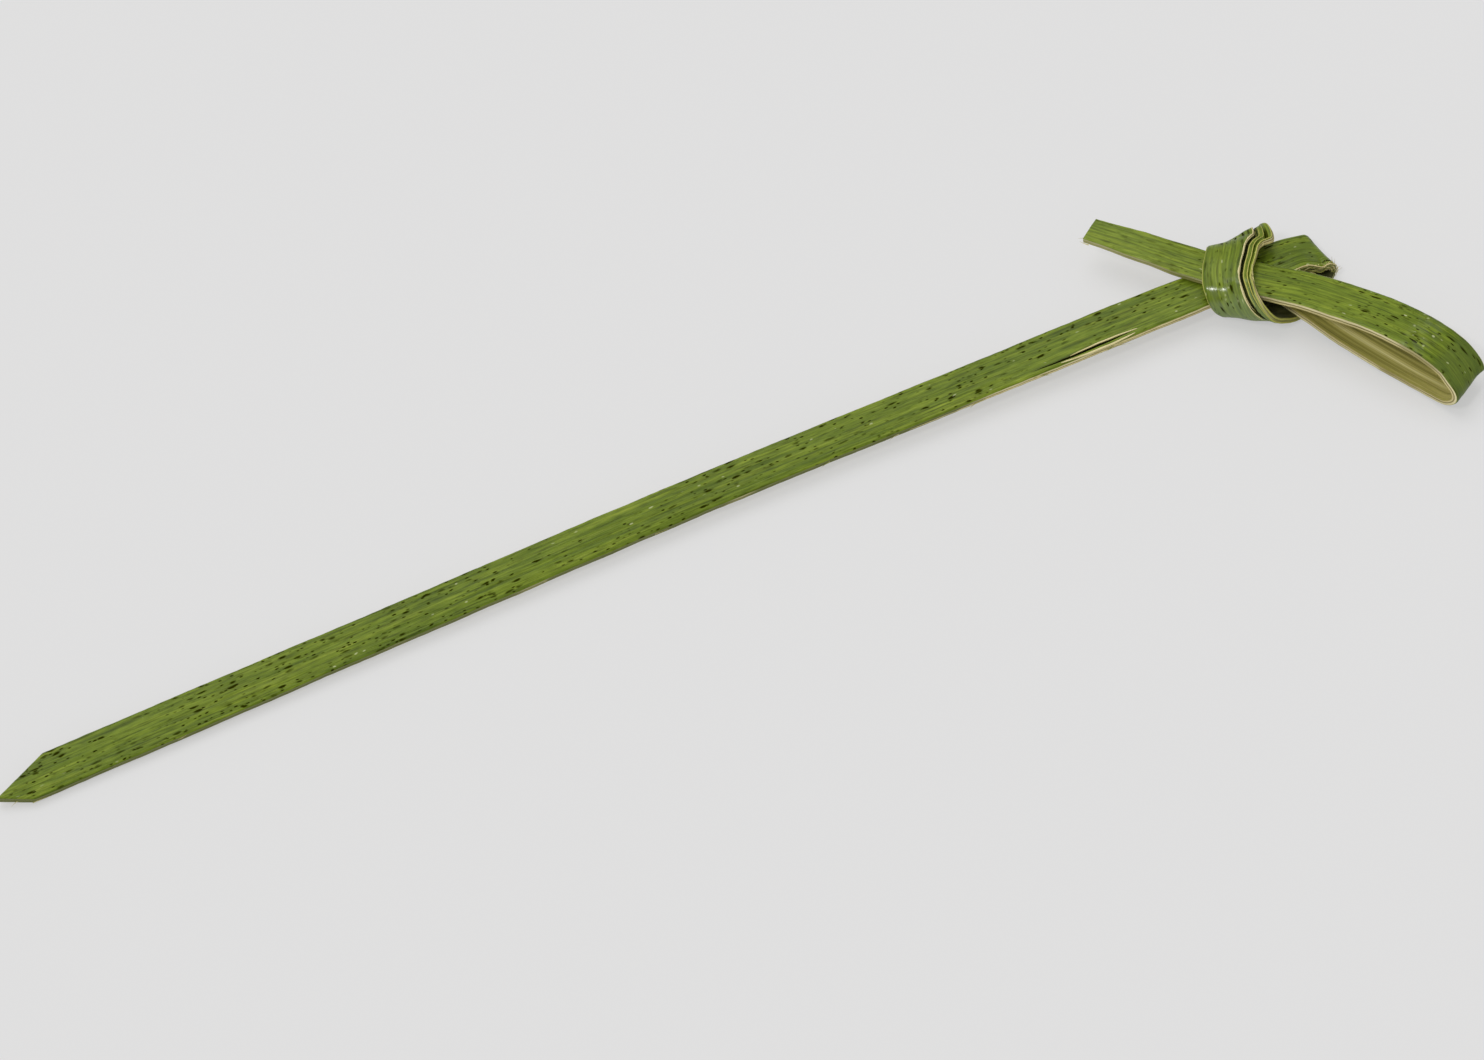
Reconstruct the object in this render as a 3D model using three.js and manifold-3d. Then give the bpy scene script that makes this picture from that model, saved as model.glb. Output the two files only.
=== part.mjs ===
import * as THREE from 'three';
import * as BufferGeometryUtils from 'three/addons/utils/BufferGeometryUtils.js';
import Module from 'manifold-3d';

// A knotted bamboo pick. It is one split strip of green bamboo, pointed at one end and tied into a
// slipped overhand knot with a loop at the other. The green skin faces outward all the way round.
// Millimetres, +Z up, lying on the plane z = 0. The shaft runs along X with its point at -X, and the
// origin is on that plane below the middle of the whole pick.

// Driving dimensions of the strip
const SHAFT_WIDTH = 3.35;
const SHAFT_WAIST = 3.1;
const LOOP_WIDTH = 3.9;
const KNOT_WIDTH = 3.85;
const FOLD_WIDTH = 3.6;
const TAIL_WIDTH = 2.05;
const TAIL_ROOT_WIDTH = 2.9;
const THICKNESS = 0.65;
const EDGE_ROUND = 0.1;
const SKIN_CROWN = 0.06;

// Driving dimensions of the knot and the point
const LAYER_GAP = 0.1;
const TIP_LONG_CUT = 4.9;
const TIP_SHORT_CUT = 2.5;
const TIP_OFFSET = 0.36;

// Splits along the grain: how wide they gape and how deep they go from the skin
const COLLAR_SPLIT_GAPE = 0.2;
const COLLAR_SPLIT_DEPTH = 0.42;
const COLLAR_LIP = 0.5;
const SLIVER_GAPE = 0.22;
const SLIVER_THICKNESS = 0.3;

// The stations below are measured from where the shaft and the tail cross, with the shaft at this
// heading, and the finished strip is then turned and moved to its own frame
const SHAFT_HEADING = 208.5;

// Layers of strip in the knot, counted from the surface it lies on
const LAYER = THICKNESS + LAYER_GAP;
const layerHeight = (index) => THICKNESS / 2 + index * LAYER;

const rad = THREE.MathUtils.degToRad;
const { lerp } = THREE.MathUtils;
const up = new THREE.Vector3(0, 0, 1);

// A level direction by its heading, 0 toward +X and 90 toward +Y
const levelDirection = (heading) => new THREE.Vector3(Math.cos(rad(heading)), Math.sin(rad(heading)), 0);

// A station of the strip: the middle of its section, the direction across it and its width
function station(x, y, z, acrossHeading, acrossTilt, width) {
  const across = levelDirection(acrossHeading).multiplyScalar(Math.cos(rad(acrossTilt)));
  across.addScaledVector(up, Math.sin(rad(acrossTilt)));
  return { middle: new THREE.Vector3(x, y, z), across, width };
}

// The stations of a turn, where the strip bends round a level axis at a slant to it. The slant
// is the angle between the strip and the axis, and the strip creeps along the axis as it turns.
function turn({ x, y, z, axisHeading, outward, radius, slant, creep, from, to, steps, width }) {
  const axis = levelDirection(axisHeading);
  const side = levelDirection(axisHeading + outward * 90);
  const sense = Math.sign(to - from);
  const stations = [];
  for (let i = 0; i <= steps; i += 1) {
    const angle = rad(from + ((to - from) * i) / steps);
    const normal = side.clone().multiplyScalar(Math.cos(angle)).addScaledVector(up, Math.sin(angle));
    const around = side.clone().multiplyScalar(-Math.sin(angle)).addScaledVector(up, Math.cos(angle));
    const along = axis.clone().multiplyScalar(creep * Math.cos(rad(slant)));
    along.addScaledVector(around, sense * Math.sin(rad(slant)));
    const shift = (creep * radius * sense * angle) / Math.tan(rad(slant));
    const middle = new THREE.Vector3(x, y, z).addScaledVector(normal, radius).addScaledVector(axis, shift);
    stations.push({ middle, across: normal.clone().cross(along).normalize(), width });
  }
  return stations;
}

// The tail, lying over the shaft and under the collar, and the top of the loop
const tailAndLoopTop = [
  station(-10.65, 3.75, layerHeight(3) + 0.27, 62, 8, TAIL_WIDTH),
  station(-6.3, 1.98, layerHeight(3) + 0.22, 67, 6, lerp(TAIL_WIDTH, TAIL_ROOT_WIDTH, 0.5)),
  station(-3.1, 0.7, layerHeight(3) + 0.05, 71, 2, lerp(TAIL_WIDTH, TAIL_ROOT_WIDTH, 0.9)),
  station(-0.3, -0.33, layerHeight(3) + 0.02, 72, 0, TAIL_ROOT_WIDTH),
  station(2.55, -1.35, layerHeight(3) + 0.2, 70, -3, lerp(TAIL_ROOT_WIDTH, LOOP_WIDTH, 0.45)),
  station(5.6, -2.55, layerHeight(3) + 0.62, 66, -6, lerp(TAIL_ROOT_WIDTH, LOOP_WIDTH, 0.8)),
  station(8.85, -4.3, layerHeight(4) + 0.38, 62, -7, LOOP_WIDTH),
  station(12.3, -6.25, layerHeight(4) + 0.73, 60, -6, LOOP_WIDTH),
  station(15.4, -8.2, layerHeight(4) + 0.53, 60, -4, LOOP_WIDTH),
];

// The nose of the loop and its lower side, back to the knot
const loopNoseAndUnderside = [
  station(17.55, -9.7, layerHeight(3) + 0.37, 60, -2, LOOP_WIDTH),
  station(18.35, -10.8, layerHeight(2) + 0.07, 60, 0, LOOP_WIDTH),
  station(17.7, -10.25, layerHeight(0) + 0.52, 60, 2, LOOP_WIDTH),
  station(15.85, -8.75, layerHeight(0) + 0.1, 58, 2, LOOP_WIDTH),
  station(12.7, -6.4, layerHeight(0) + 0.1, 56, 2, LOOP_WIDTH),
  station(9.6, -4.1, layerHeight(0) + 0.27, 57, 0, LOOP_WIDTH),
  station(6.8, -2.0, layerHeight(1), 56, 0, KNOT_WIDTH),
  station(4.5, 0.1, layerHeight(1), 54, 0, KNOT_WIDTH),
];

// The turn over the far side of the knot into the collar
const farTurn = turn({
  x: 1.15, y: 1.85, z: (layerHeight(1) + layerHeight(4)) / 2 + 0.08,
  axisHeading: 27, outward: 1, radius: (layerHeight(4) - layerHeight(1)) / 2 + 0.1,
  slant: 66, creep: -1, from: -90, to: 90, steps: 5, width: KNOT_WIDTH,
});

// The turn round the near side, from the collar to the bottom layer
const nearTurn = turn({
  x: 1.35, y: -2.2, z: (layerHeight(0) + layerHeight(4)) / 2 + 0.18,
  axisHeading: -18, outward: -1, radius: (layerHeight(4) - layerHeight(0)) / 2 + 0.1,
  slant: 58, creep: 1, from: 90, to: -90, steps: 5, width: KNOT_WIDTH,
});

// The strip's bottom layer, under the knot
const bottomReach = [
  station(3.85, -2.0, layerHeight(0), -46, 0, KNOT_WIDTH),
  station(4.75, -1.15, layerHeight(0), -40, 0, KNOT_WIDTH),
  station(5.85, 0.6, layerHeight(0), -37, 0, KNOT_WIDTH),
];

// The tight fold at the right, from the bottom layer up to the layer that becomes the shaft
const FOLD_RADIUS = (LAYER * 2) / 3;
const foldTurn = turn({
  x: 6.7, y: 2.6, z: layerHeight(0) + FOLD_RADIUS,
  axisHeading: 126, outward: -1, radius: FOLD_RADIUS,
  slant: 77, creep: 1, from: -90, to: 90, steps: 4, width: FOLD_WIDTH,
});

// The shaft, rolled toward its near edge as it leaves the knot
const shaft = [
  station(5.4, 2.2, layerHeight(2) + 0.02, -66, 7, lerp(SHAFT_WIDTH, FOLD_WIDTH, 0.6)),
  station(4.2, 1.65, layerHeight(2) + 0.08, -65, 4, lerp(SHAFT_WIDTH, FOLD_WIDTH, 0.6)),
  station(2.5, 0.8, layerHeight(2) + 0.04, -63, 1, lerp(SHAFT_WIDTH, FOLD_WIDTH, 0.4)),
  station(-0.3, -0.6, layerHeight(2), -61.5, 0, lerp(SHAFT_WIDTH, FOLD_WIDTH, 0.2)),
  station(-3.1, -2.05, layerHeight(2) - 0.02, -61.5, -1, SHAFT_WIDTH),
  station(-6.9, -4.0, layerHeight(2) - 0.03, -61.5, -4, SHAFT_WIDTH),
  station(-20, -10.85, layerHeight(2) - 0.22, -62, -9, lerp(SHAFT_WIDTH, SHAFT_WAIST, 0.6)),
  station(-39.2, -20.85, layerHeight(1) + 0.28, -61.5, -11, SHAFT_WAIST),
  station(-62, -33.3, layerHeight(1) - 0.02, -61.5, -11, lerp(SHAFT_WIDTH, SHAFT_WAIST, 0.6)),
  station(-85.4, -46.15, layerHeight(0) + 0.43, -61.3, -11, SHAFT_WIDTH),
  station(-94.6, -51.2, layerHeight(0) + 0.34, -61.2, -11, SHAFT_WIDTH),
];

const route = [
  ...tailAndLoopTop,
  ...loopNoseAndUnderside,
  ...farTurn,
  ...nearTurn,
  ...bottomReach,
  ...foldTurn,
  ...shaft,
];

// The strip's section at a point of the route, as corner points round it, skin side first. Across
// is measured from the middle to each edge, and depth from the middle of the thickness.
function sectionOutline(width) {
  const half = width / 2;
  const top = THICKNESS / 2;
  return [
    [-half, top - EDGE_ROUND],
    [-half + EDGE_ROUND, top - SKIN_CROWN / 2],
    [0, top],
    [half - EDGE_ROUND, top - SKIN_CROWN / 2],
    [half, top - EDGE_ROUND],
    [half, EDGE_ROUND - top],
    [half - EDGE_ROUND, -top],
    [EDGE_ROUND - half, -top],
    [-half, EDGE_ROUND - top],
  ];
}

// Points of the route at close steps, each with its frame: along, across and the skin's normal
const MAX_STEP = 0.55;
const MAX_SHAFT_STEP = 4;
const LONG_SPAN = 8;
function frames(stations) {
  const middles = new THREE.CatmullRomCurve3(stations.map((each) => each.middle), false, 'centripetal');
  const acrosses = new THREE.CatmullRomCurve3(stations.map((each) => each.across), false, 'centripetal');
  const spans = stations.length - 1;
  const result = [];
  for (let span = 0; span < spans; span += 1) {
    const here = stations[span];
    const next = stations[span + 1];
    const length = here.middle.distanceTo(next.middle);
    const steps = Math.max(2, Math.ceil(length / (length > LONG_SPAN ? MAX_SHAFT_STEP : MAX_STEP)));
    for (let i = 0; i < steps + (span === spans - 1 ? 1 : 0); i += 1) {
      const t = (span + i / steps) / spans;
      const point = middles.getPoint(t);
      const along = middles.getTangent(t);
      const across = acrosses.getPoint(t);
      across.addScaledVector(along, -across.dot(along)).normalize();
      const normal = along.clone().cross(across);
      const width = lerp(here.width, next.width, THREE.MathUtils.smoothstep(i / steps, 0, 1));
      result.push({ at: span + i / steps, point, along, across, normal, width });
    }
  }
  return result;
}

// A closed solid through a section at each of the frames
function sweep(list, outlineAt) {
  const positions = [];
  const indices = [];
  for (const frame of list) {
    for (const [side, depth] of outlineAt(frame)) {
      const corner = frame.point.clone().addScaledVector(frame.across, side);
      corner.addScaledVector(frame.normal, depth);
      positions.push(corner.x, corner.y, corner.z);
    }
  }
  const corners = outlineAt(list[0]).length;
  for (let ring = 0; ring < list.length - 1; ring += 1) {
    for (let corner = 0; corner < corners; corner += 1) {
      const a = ring * corners + corner;
      const b = ring * corners + ((corner + 1) % corners);
      indices.push(a, b + corners, b, a, a + corners, b + corners);
    }
  }
  const last = (list.length - 1) * corners;
  for (let corner = 1; corner < corners - 1; corner += 1) {
    indices.push(0, corner, corner + 1);
    indices.push(last, last + corner + 1, last + corner);
  }
  const geometry = new THREE.BufferGeometry();
  geometry.setAttribute('position', new THREE.Float32BufferAttribute(positions, 3));
  geometry.setIndex(indices);
  return geometry;
}

const wasm = await Module();
wasm.setup();

// A solid from a closed geometry, and a geometry from a solid
function toSolid(geometry) {
  const bare = geometry.index ? geometry.toNonIndexed() : geometry.clone();
  bare.deleteAttribute('normal');
  bare.deleteAttribute('uv');
  const merged = BufferGeometryUtils.mergeVertices(bare, 1e-5);
  const vertProperties = Float32Array.from(merged.attributes.position.array);
  const triVerts = Uint32Array.from(merged.index.array);
  return new wasm.Manifold(new wasm.Mesh({ numProp: 3, vertProperties, triVerts }));
}
function toGeometry(solid) {
  const mesh = solid.getMesh();
  const geometry = new THREE.BufferGeometry();
  geometry.setAttribute('position', new THREE.BufferAttribute(mesh.vertProperties, 3));
  geometry.setIndex(new THREE.BufferAttribute(mesh.triVerts, 1));
  return geometry;
}

// A block that trims the end of the strip along a slanting cut. The cut starts at a point of the
// end and runs back at a given distance along and across, and the block lies on its outer side.
const TRIM_REACH = 12;
function trimBlock(end, offset, back, side) {
  const start = end.point.clone().addScaledVector(end.across, offset);
  const cut = end.across.clone().multiplyScalar(side * (end.width / 2) - offset);
  cut.addScaledVector(end.along, -back);
  cut.normalize();
  const outer = end.along.clone().addScaledVector(cut, -end.along.dot(cut)).normalize();
  const geometry = new THREE.BoxGeometry(TRIM_REACH, TRIM_REACH, TRIM_REACH);
  geometry.applyMatrix4(new THREE.Matrix4().makeBasis(cut, outer, cut.clone().cross(outer)));
  const middle = start.clone().addScaledVector(outer, TRIM_REACH / 2);
  geometry.translate(middle.x, middle.y, middle.z);
  return geometry;
}

// A blade for a split along the grain, between two places on the route. It runs at a distance
// across from the middle, goes down from the skin, and closes to a hair at both ends.
const HAIR = 0.03;
function splitBlade(list, { from, to, sideAt, gape, depth }) {
  const stretch = list.filter((frame) => frame.at >= from && frame.at <= to);
  const outlineAt = (frame) => {
    const share = (frame.at - from) / (to - from);
    const half = (HAIR + gape * Math.sin(Math.PI * share)) / 2;
    const side = sideAt(frame, share);
    const bottom = THICKNESS / 2 - depth;
    return [
      [side - half, THICKNESS],
      [side + half, THICKNESS],
      [side + half, bottom],
      [side - half, bottom],
    ];
  };
  return sweep(stretch, outlineAt);
}

const routeFrames = frames(route);
const tip = routeFrames[routeFrames.length - 1];
let strip = toSolid(sweep(routeFrames, (frame) => sectionOutline(frame.width)));

// The collar's skin has lifted from the layer under it along its edge toward the loop
const farTurnStart = tailAndLoopTop.length + loopNoseAndUnderside.length;
const nearTurnStart = farTurnStart + farTurn.length;
const collarSplit = {
  from: farTurnStart + 2,
  to: nearTurnStart + 3.5,
  sideAt: (frame, share) => frame.width / 2 - COLLAR_LIP * (0.6 + 0.8 * Math.sin(Math.PI * share)),
  gape: COLLAR_SPLIT_GAPE,
  depth: COLLAR_SPLIT_DEPTH,
};
strip = strip.subtract(toSolid(splitBlade(routeFrames, collarSplit)));

// A sliver stands off the near edge of the shaft, a little way from the knot
const shaftStart = route.length - shaft.length;
const sliverSplit = {
  from: shaftStart + 5.25,
  to: shaftStart + 5.75,
  sideAt: (frame) => frame.width / 2 - SLIVER_THICKNESS,
  gape: SLIVER_GAPE,
  depth: THICKNESS * 2,
};
strip = strip.subtract(toSolid(splitBlade(routeFrames, sliverSplit)));

// The point
strip = strip.subtract(toSolid(trimBlock(tip, TIP_OFFSET, TIP_SHORT_CUT, 1)));
strip = strip.subtract(toSolid(trimBlock(tip, TIP_OFFSET, TIP_LONG_CUT, -1)));

const bamboo = new THREE.MeshStandardMaterial({ color: 0x7d9440, roughness: 0.5, metalness: 0 });
const stripMesh = new THREE.Mesh(toGeometry(strip), bamboo);
stripMesh.name = 'bamboo_strip';
stripMesh.rotation.z = rad(180 - SHAFT_HEADING);
const extent = new THREE.Box3().setFromObject(stripMesh, true);
const middleOfPick = extent.getCenter(new THREE.Vector3());
stripMesh.position.set(-middleOfPick.x, -middleOfPick.y, -extent.min.z);

const group = new THREE.Group();
group.add(stripMesh);

export default group;
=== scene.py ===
# %% [markdown]
# # A knotted bamboo pick
#
# The pick is one split strip of green bamboo. One end is cut to a point, and the other is tied into
# a slipped knot with a loop. The strip's outside is smooth green skin, its inside is paler flesh,
# and its cut edges show cream layers. This lesson loads the plain solid of the pick, lays a finely
# divided strip along the same route, and finishes it with materials that follow the grain.

import math
import random

import bpy
import bmesh
import numpy as np
from mathutils import Matrix, Vector, noise
from mathutils.bvhtree import BVHTree


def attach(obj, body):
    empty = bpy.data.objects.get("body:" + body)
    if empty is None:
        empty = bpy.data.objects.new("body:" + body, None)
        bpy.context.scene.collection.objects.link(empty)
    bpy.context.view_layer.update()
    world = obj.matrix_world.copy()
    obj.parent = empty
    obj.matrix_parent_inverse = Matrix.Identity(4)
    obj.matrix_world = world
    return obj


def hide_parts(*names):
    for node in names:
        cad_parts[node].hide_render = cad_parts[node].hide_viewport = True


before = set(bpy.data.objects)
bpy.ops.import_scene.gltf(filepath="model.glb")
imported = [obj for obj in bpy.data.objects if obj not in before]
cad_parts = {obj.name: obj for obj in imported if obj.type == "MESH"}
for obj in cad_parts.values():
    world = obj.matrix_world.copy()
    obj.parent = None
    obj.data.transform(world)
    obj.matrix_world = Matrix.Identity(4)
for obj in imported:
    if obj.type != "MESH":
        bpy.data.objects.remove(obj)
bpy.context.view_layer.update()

# %% [markdown]
# ## The route of the strip
#
# The route is a list of stations. Each gives the middle of the strip, the heading and tilt of the
# line across it, and its width. A turn round the knot is a helical arc about a level axis, because
# a flat strip that bends without creasing lies on such an arc.

# %% Sizes of the strip
MM = 0.001
SHAFT_WIDTH = 3.35
SHAFT_WAIST = 3.1
LOOP_WIDTH = 3.9
KNOT_WIDTH = 3.85
FOLD_WIDTH = 3.6
TAIL_WIDTH = 2.05
TAIL_ROOT_WIDTH = 2.9
THICKNESS = 0.65
TOP = THICKNESS / 2
LAYER_GAP = 0.1
LAYER = THICKNESS + LAYER_GAP
TIP_LONG_CUT = 4.9
TIP_SHORT_CUT = 2.5
TIP_OFFSET = 0.36
TURN_TO_FRAME = math.radians(180 - 208.5)
PLACE_IN_FRAME = Vector((47.3487, 5.1971, 0.1236))


def layer(index):
    return TOP + index * LAYER


def mix(a, b, share):
    return a + (b - a) * share


def smooth(share):
    share = min(max(share, 0.0), 1.0)
    return share * share * (3 - 2 * share)


def bell(value, middle, reach):
    return math.exp(-((value - middle) / reach) ** 2)


def share_of(value, start, end):
    return min(max((value - start) / (end - start), 0.0), 1.0)


print("the knot's five layers are", round(THICKNESS + 4 * LAYER, 2), "mm high")


# %% Stations
def level(heading):
    return Vector((math.cos(math.radians(heading)), math.sin(math.radians(heading)), 0))


def station(x, y, z, heading, tilt, width):
    across = level(heading) * math.cos(math.radians(tilt))
    across.z = math.sin(math.radians(tilt))
    return (Vector((x, y, z)), across, width)


def turn(x, y, z, heading, outward, radius, slant, creep, start, end, steps, width):
    axis = level(heading)
    side = level(heading + outward * 90)
    up = Vector((0, 0, 1))
    sense = 1 if end > start else -1
    slant = math.radians(slant)
    made = []
    for i in range(steps + 1):
        angle = math.radians(start + (end - start) * i / steps)
        normal = side * math.cos(angle) + up * math.sin(angle)
        around = up * math.cos(angle) - side * math.sin(angle)
        along = axis * (creep * math.cos(slant)) + around * (sense * math.sin(slant))
        shift = creep * radius * sense * angle / math.tan(slant)
        middle = Vector((x, y, z)) + normal * radius + axis * shift
        made.append((middle, normal.cross(along).normalized(), width))
    return made


tail_and_loop_top = [
    station(-10.65, 3.75, layer(3) + 0.27, 62, 8, TAIL_WIDTH),
    station(-6.3, 1.98, layer(3) + 0.22, 67, 6, mix(TAIL_WIDTH, TAIL_ROOT_WIDTH, 0.5)),
    station(-3.1, 0.7, layer(3) + 0.05, 71, 2, mix(TAIL_WIDTH, TAIL_ROOT_WIDTH, 0.9)),
    station(-0.3, -0.33, layer(3) + 0.02, 72, 0, TAIL_ROOT_WIDTH),
    station(2.55, -1.35, layer(3) + 0.2, 70, -3, mix(TAIL_ROOT_WIDTH, LOOP_WIDTH, 0.45)),
    station(5.6, -2.55, layer(3) + 0.62, 66, -6, mix(TAIL_ROOT_WIDTH, LOOP_WIDTH, 0.8)),
    station(8.85, -4.3, layer(4) + 0.38, 62, -7, LOOP_WIDTH),
    station(12.3, -6.25, layer(4) + 0.73, 60, -6, LOOP_WIDTH),
    station(15.4, -8.2, layer(4) + 0.53, 60, -4, LOOP_WIDTH),
]
loop_nose_and_underside = [
    station(17.55, -9.7, layer(3) + 0.37, 60, -2, LOOP_WIDTH),
    station(18.35, -10.8, layer(2) + 0.07, 60, 0, LOOP_WIDTH),
    station(17.7, -10.25, layer(0) + 0.52, 60, 2, LOOP_WIDTH),
    station(15.85, -8.75, layer(0) + 0.1, 58, 2, LOOP_WIDTH),
    station(12.7, -6.4, layer(0) + 0.1, 56, 2, LOOP_WIDTH),
    station(9.6, -4.1, layer(0) + 0.27, 57, 0, LOOP_WIDTH),
    station(6.8, -2.0, layer(1), 56, 0, KNOT_WIDTH),
    station(4.5, 0.1, layer(1), 54, 0, KNOT_WIDTH),
]
far_turn = turn(1.15, 1.85, (layer(1) + layer(4)) / 2 + 0.08, 27, 1,
                (layer(4) - layer(1)) / 2 + 0.1, 66, -1, -90, 90, 5, KNOT_WIDTH)
near_turn = turn(1.35, -2.2, (layer(0) + layer(4)) / 2 + 0.18, -18, -1,
                 (layer(4) - layer(0)) / 2 + 0.1, 58, 1, 90, -90, 5, KNOT_WIDTH)
bottom_reach = [
    station(3.85, -2.0, layer(0), -46, 0, KNOT_WIDTH),
    station(4.75, -1.15, layer(0), -40, 0, KNOT_WIDTH),
    station(5.85, 0.6, layer(0), -37, 0, KNOT_WIDTH),
]
FOLD_RADIUS = LAYER * 2 / 3
fold_turn = turn(6.7, 2.6, layer(0) + FOLD_RADIUS, 126, -1, FOLD_RADIUS, 77, 1, -90, 90, 4, FOLD_WIDTH)
shaft = [
    station(5.4, 2.2, layer(2) + 0.02, -66, 7, mix(SHAFT_WIDTH, FOLD_WIDTH, 0.6)),
    station(4.2, 1.65, layer(2) + 0.08, -65, 4, mix(SHAFT_WIDTH, FOLD_WIDTH, 0.6)),
    station(2.5, 0.8, layer(2) + 0.04, -63, 1, mix(SHAFT_WIDTH, FOLD_WIDTH, 0.4)),
    station(-0.3, -0.6, layer(2), -61.5, 0, mix(SHAFT_WIDTH, FOLD_WIDTH, 0.2)),
    station(-3.1, -2.05, layer(2) - 0.02, -61.5, -1, SHAFT_WIDTH),
    station(-6.9, -4.0, layer(2) - 0.03, -61.5, -4, SHAFT_WIDTH),
    station(-20, -10.85, layer(2) - 0.22, -62, -9, mix(SHAFT_WIDTH, SHAFT_WAIST, 0.6)),
    station(-39.2, -20.85, layer(1) + 0.28, -61.5, -11, SHAFT_WAIST),
    station(-62, -33.3, layer(1) - 0.02, -61.5, -11, mix(SHAFT_WIDTH, SHAFT_WAIST, 0.6)),
    station(-85.4, -46.15, layer(0) + 0.43, -61.3, -11, SHAFT_WIDTH),
    station(-94.6, -51.2, layer(0) + 0.34, -61.2, -11, SHAFT_WIDTH),
]
route = (tail_and_loop_top + loop_nose_and_underside + far_turn + near_turn
         + bottom_reach + fold_turn + shaft)
FAR_TURN_START = len(tail_and_loop_top) + len(loop_nose_and_underside)
NEAR_TURN_START = FAR_TURN_START + len(far_turn)
SHAFT_START = len(route) - len(shaft)
FOLD_START = SHAFT_START - len(fold_turn)
print("stations on the route:", len(route))


# %% [markdown]
# ## A smooth curve through the stations
#
# A centripetal Catmull-Rom curve goes through every station and makes no loops or cusps where the
# stations lie at uneven distances, which they do here: close in the knot and far apart on the shaft.
# Round the collar the frames are then averaged with their neighbours, because a stiff strip eases
# from one turn into the next, and its twist eases over a longer way than its middle line does.

# %% Catmull-Rom curve
def catmull_rom(points, position):
    spans = len(points) - 1
    span = min(int(position), spans - 1)
    share = position - span
    p1 = points[span]
    p2 = points[span + 1]
    p0 = points[span - 1] if span > 0 else p1 * 2 - p2
    p3 = points[span + 2] if span + 2 < len(points) else p2 * 2 - p1
    d0 = math.sqrt((p1 - p0).length)
    d1 = math.sqrt((p2 - p1).length)
    d2 = math.sqrt((p3 - p2).length)
    d1 = d1 if d1 > 1e-4 else 1.0
    d0 = d0 if d0 > 1e-4 else d1
    d2 = d2 if d2 > 1e-4 else d1
    t1 = ((p1 - p0) / d0 - (p2 - p0) / (d0 + d1) + (p2 - p1) / d1) * d1
    t2 = ((p2 - p1) / d1 - (p3 - p1) / (d1 + d2) + (p3 - p2) / d2) * d1
    c2 = p2 * 3 - p1 * 3 - t1 * 2 - t2
    c3 = p1 * 2 - p2 * 2 + t1 + t2
    return p1 + t1 * share + c2 * share ** 2 + c3 * share ** 3


# %% Frames along the route
KNOT_STEP = 0.14
SHAFT_STEP = 0.22
LONG_SPAN = 8.0
EASE_PATH = 1.3
EASE_TWIST = 2.4
EASE_OUT = 0.6
NUDGE = 0.002


def frames_along(stations):
    middles = [each[0] for each in stations]
    acrosses = [each[1] for each in stations]
    made = []
    travelled = 0.0
    previous = None
    for span in range(len(stations) - 1):
        length = (middles[span + 1] - middles[span]).length
        steps = max(3, math.ceil(length / (SHAFT_STEP if length > LONG_SPAN else KNOT_STEP)))
        last = span == len(stations) - 2
        for i in range(steps + (1 if last else 0)):
            at = span + i / steps
            point = catmull_rom(middles, at)
            ahead = catmull_rom(middles, min(at + NUDGE, len(stations) - 1))
            behind = catmull_rom(middles, max(at - NUDGE, 0))
            along = (ahead - behind).normalized()
            across = catmull_rom(acrosses, at)
            across = (across - along * across.dot(along)).normalized()
            width = mix(stations[span][2], stations[span + 1][2], smooth(i / steps))
            if previous is not None:
                travelled += (point - previous).length
            previous = point
            made.append({"at": at, "length": travelled, "point": point, "along": along,
                         "across": across, "normal": along.cross(across), "width": width})
    return made


def eased(made, ring):
    point = Vector()
    across = Vector()
    path_weight = 0.0
    twist_weight = 0.0
    for other in made:
        if abs(other["length"] - ring["length"]) < 3 * EASE_TWIST:
            weight = bell(other["length"], ring["length"], EASE_PATH)
            point += other["point"] * weight
            path_weight += weight
            weight = bell(other["length"], ring["length"], EASE_TWIST)
            across += other["across"] * weight
            twist_weight += weight
    return point / path_weight, across / twist_weight


def soften(made, start, end):
    softened = []
    for ring in made:
        if start < ring["at"] < end:
            share = smooth(min(1.0, ring["at"] - start, (end - ring["at"]) * EASE_OUT))
            point, across = eased(made, ring)
            softened.append((ring, ring["point"].lerp(point, share), ring["across"].lerp(across, share)))
    for ring, point, across in softened:
        ring["point"] = point
        ring["across"] = across
    for before, ring, after in zip(made, made[1:], made[2:]):
        if start < ring["at"] < end:
            along = (after["point"] - before["point"]).normalized()
            across = ring["across"]
            across = (across - along * across.dot(along)).normalized()
            ring.update(along=along, across=across, normal=along.cross(across))


rings = frames_along(route)
soften(rings, FAR_TURN_START + 2.6, NEAR_TURN_START + 7.0)
strip_length = rings[-1]["length"]


def ring_near(at):
    return min(rings, key=lambda ring: abs(ring["at"] - at))


print("rings:", len(rings), "length of strip in mm:", round(strip_length, 1))

# %% [markdown]
# ## The section of the strip
#
# A split strip isn't a clean rectangle. Its skin is slightly crowned, its corners are broken, and
# its cut edges are a stack of fibre layers that tore at slightly different places. Along the collar
# the skin has lifted from the layer under it, which leaves a dark slit, and near the knot a sliver
# stands off the shaft's edge. All of this is in the section, so that it is one closed mesh. The
# collar's free edge also flares and rolls over at the top and curls up at the bottom, as in a real
# knot, where nothing presses on it.

# %% Places of the splits
COLLAR_FROM = FAR_TURN_START + 1.6
COLLAR_TO = NEAR_TURN_START + 3.8
SLIVER_FROM = SHAFT_START + 5.12
SLIVER_TO = SHAFT_START + 5.72
COLLAR_EVENNESS = 0.7


def collar_share(at):
    return math.sin(math.pi * share_of(at, COLLAR_FROM, COLLAR_TO)) ** COLLAR_EVENNESS


def sliver_share(at):
    return math.sin(math.pi * share_of(at, SLIVER_FROM, SLIVER_TO))


print("the collar's split runs from station", round(COLLAR_FROM, 1), "to", round(COLLAR_TO, 1))

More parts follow.
